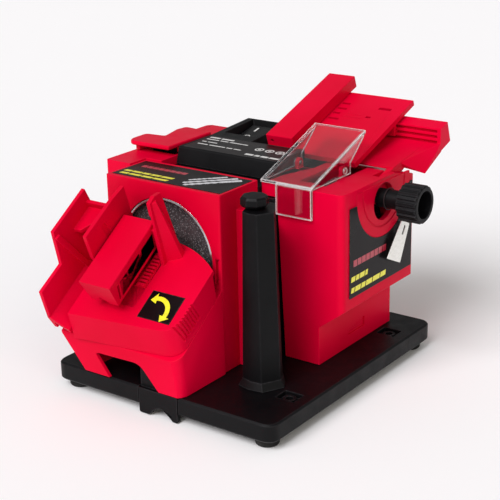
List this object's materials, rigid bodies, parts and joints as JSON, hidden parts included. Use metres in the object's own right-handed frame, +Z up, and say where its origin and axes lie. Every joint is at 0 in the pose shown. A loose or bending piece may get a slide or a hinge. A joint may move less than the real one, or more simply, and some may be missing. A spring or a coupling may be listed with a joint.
{
  "type": "drill bit sharpener",
  "caption": "Bench sharpener in red plastic on a black base, with a swinging drill head, a tilting chisel guide, a covered knife slot and a clear guard",
  "frame": {"origin": "centre of the base plate's flat underside, between the feet; the feet reach 6 mm below it", "axes": "+X towards the knob, +Y towards the back, away from the drill head, +Z up"},
  "size_m": [0.2206, 0.2618, 0.1873],
  "materials": {
    "red_plastic": "glossy moulded crimson",
    "black_plastic": "fine-grained moulded black",
    "black_rubber": "dull moulded",
    "label_film": "printed satin film",
    "tag_card": "coated white card",
    "clear_plastic": "clear moulded",
    "abrasive": "sintered grit",
    "steel": "turned",
    "brass": "machined",
    "motor_steel": "pressed sheet"
  },
  "bodies": {
    "base": {"base_plate": "black_plastic", "bottom_cover": "motor_steel", "foot_front_left": "black_rubber", "foot_front_right": "black_rubber", "foot_rear_left": "black_rubber", "foot_rear_right": "black_rubber", "release_lever_pin": "steel", "motor_housing": "black_plastic", "column_cap": "black_plastic", "cord_inlet": "black_rubber", "console_panel": "black_plastic", "rating_plate": "label_film", "motor_can": "motor_steel", "shaft_bearing_left": "steel", "shaft_bearing_right": "steel", "spindle_bearing_front": "steel", "spindle_bearing_rear": "steel", "drill_housing": "red_plastic", "opening_ring": "steel", "drill_label": "label_film", "drill_front": "red_plastic", "chisel_housing": "red_plastic", "chisel_label": "label_film", "hang_tag": "tag_card", "guard_pin_left": "steel", "guard_pin_right": "steel", "knife_housing": "red_plastic", "knife_cover": "red_plastic", "knife_guide": "black_plastic"},
    "motor_shaft": {"motor_shaft": "steel", "motor_rotor": "brass", "cooling_fan": "black_plastic", "drive_bevel_gear": "brass", "chisel_wheel": "abrasive", "chisel_wheel_nut": "steel", "knife_wheel": "abrasive", "knife_wheel_nut": "steel"},
    "drill_spindle": {"drill_spindle": "steel", "spindle_bevel_gear": "brass", "drill_wheel": "abrasive", "drill_wheel_nut": "steel"},
    "switch": {"power_switch": "black_plastic"},
    "release_lever": {"release_lever": "black_plastic"},
    "drill_head": {"drill_head": "red_plastic", "arrow_label": "label_film", "head_pivot_pin": "steel", "v_block": "red_plastic", "wing_guard": "red_plastic"},
    "drill_clamp": {"drill_clamp": "red_plastic"},
    "guide_arm": {"guide_arm": "red_plastic"},
    "guide_plate": {"guide_plate": "red_plastic", "fence_bar": "red_plastic"},
    "safety_guard": {"safety_guard": "clear_plastic"},
    "angle_knob": {"angle_knob": "black_plastic", "knob_bolt": "steel"}
  },
  "joints": [
    {"name": "motor_spin", "type": "hinge", "parent": "base", "child": "motor_shaft", "pos_m": [0, 0.0375, 0.089], "axis": [1, 0, 0], "continuous": true},
    {"name": "spindle_spin", "type": "hinge", "parent": "base", "child": "drill_spindle", "pos_m": [-0.029, -0.04, 0.089], "axis": [0, 1, 0], "continuous": true},
    {"name": "switch_rock", "type": "hinge", "parent": "base", "child": "switch", "pos_m": [-0.04425, 0.0725, 0.1393], "axis": [1, 0, 0], "range_deg": [-10, 0]},
    {"name": "lever_press", "type": "hinge", "parent": "base", "child": "release_lever", "pos_m": [0, -0.0895, 0.022], "axis": [1, 0, 0], "range_deg": [0, 6], "stiffness_Nm_per_rad": 0.1, "springref_deg": -5.73},
    {"name": "head_swing", "type": "hinge", "parent": "base", "child": "drill_head", "pos_m": [-0.029, -0.10664, 0.06185], "axis": [0, -0.5736, 0.8192], "range_deg": [-20, 20]},
    {"name": "clamp_lift", "type": "slide", "parent": "drill_head", "child": "drill_clamp", "axis": [0, -0.5736, 0.8192], "range_m": [0, 0.008]},
    {"name": "guide_tilt", "type": "hinge", "parent": "base", "child": "guide_arm", "pos_m": [0.078, 0.043, 0.1225], "axis": [1, 0, 0], "range_deg": [-3, 8]},
    {"name": "plate_slide", "type": "slide", "parent": "guide_arm", "child": "guide_plate", "axis": [1, 0, 0], "range_m": [-0.004, 0.013]},
    {"name": "guard_swing", "type": "hinge", "parent": "base", "child": "safety_guard", "pos_m": [0.041, 0.0303, 0.141], "axis": [-1, 0, 0], "range_deg": [0, 12]},
    {"name": "knob_turn", "type": "hinge", "parent": "base", "child": "angle_knob", "pos_m": [0.09, 0.043, 0.1225], "axis": [1, 0, 0], "continuous": true}
  ],
  "couplings": [
    {"joint": "spindle_spin", "follows": "motor_spin", "ratio": 1}
  ]
}
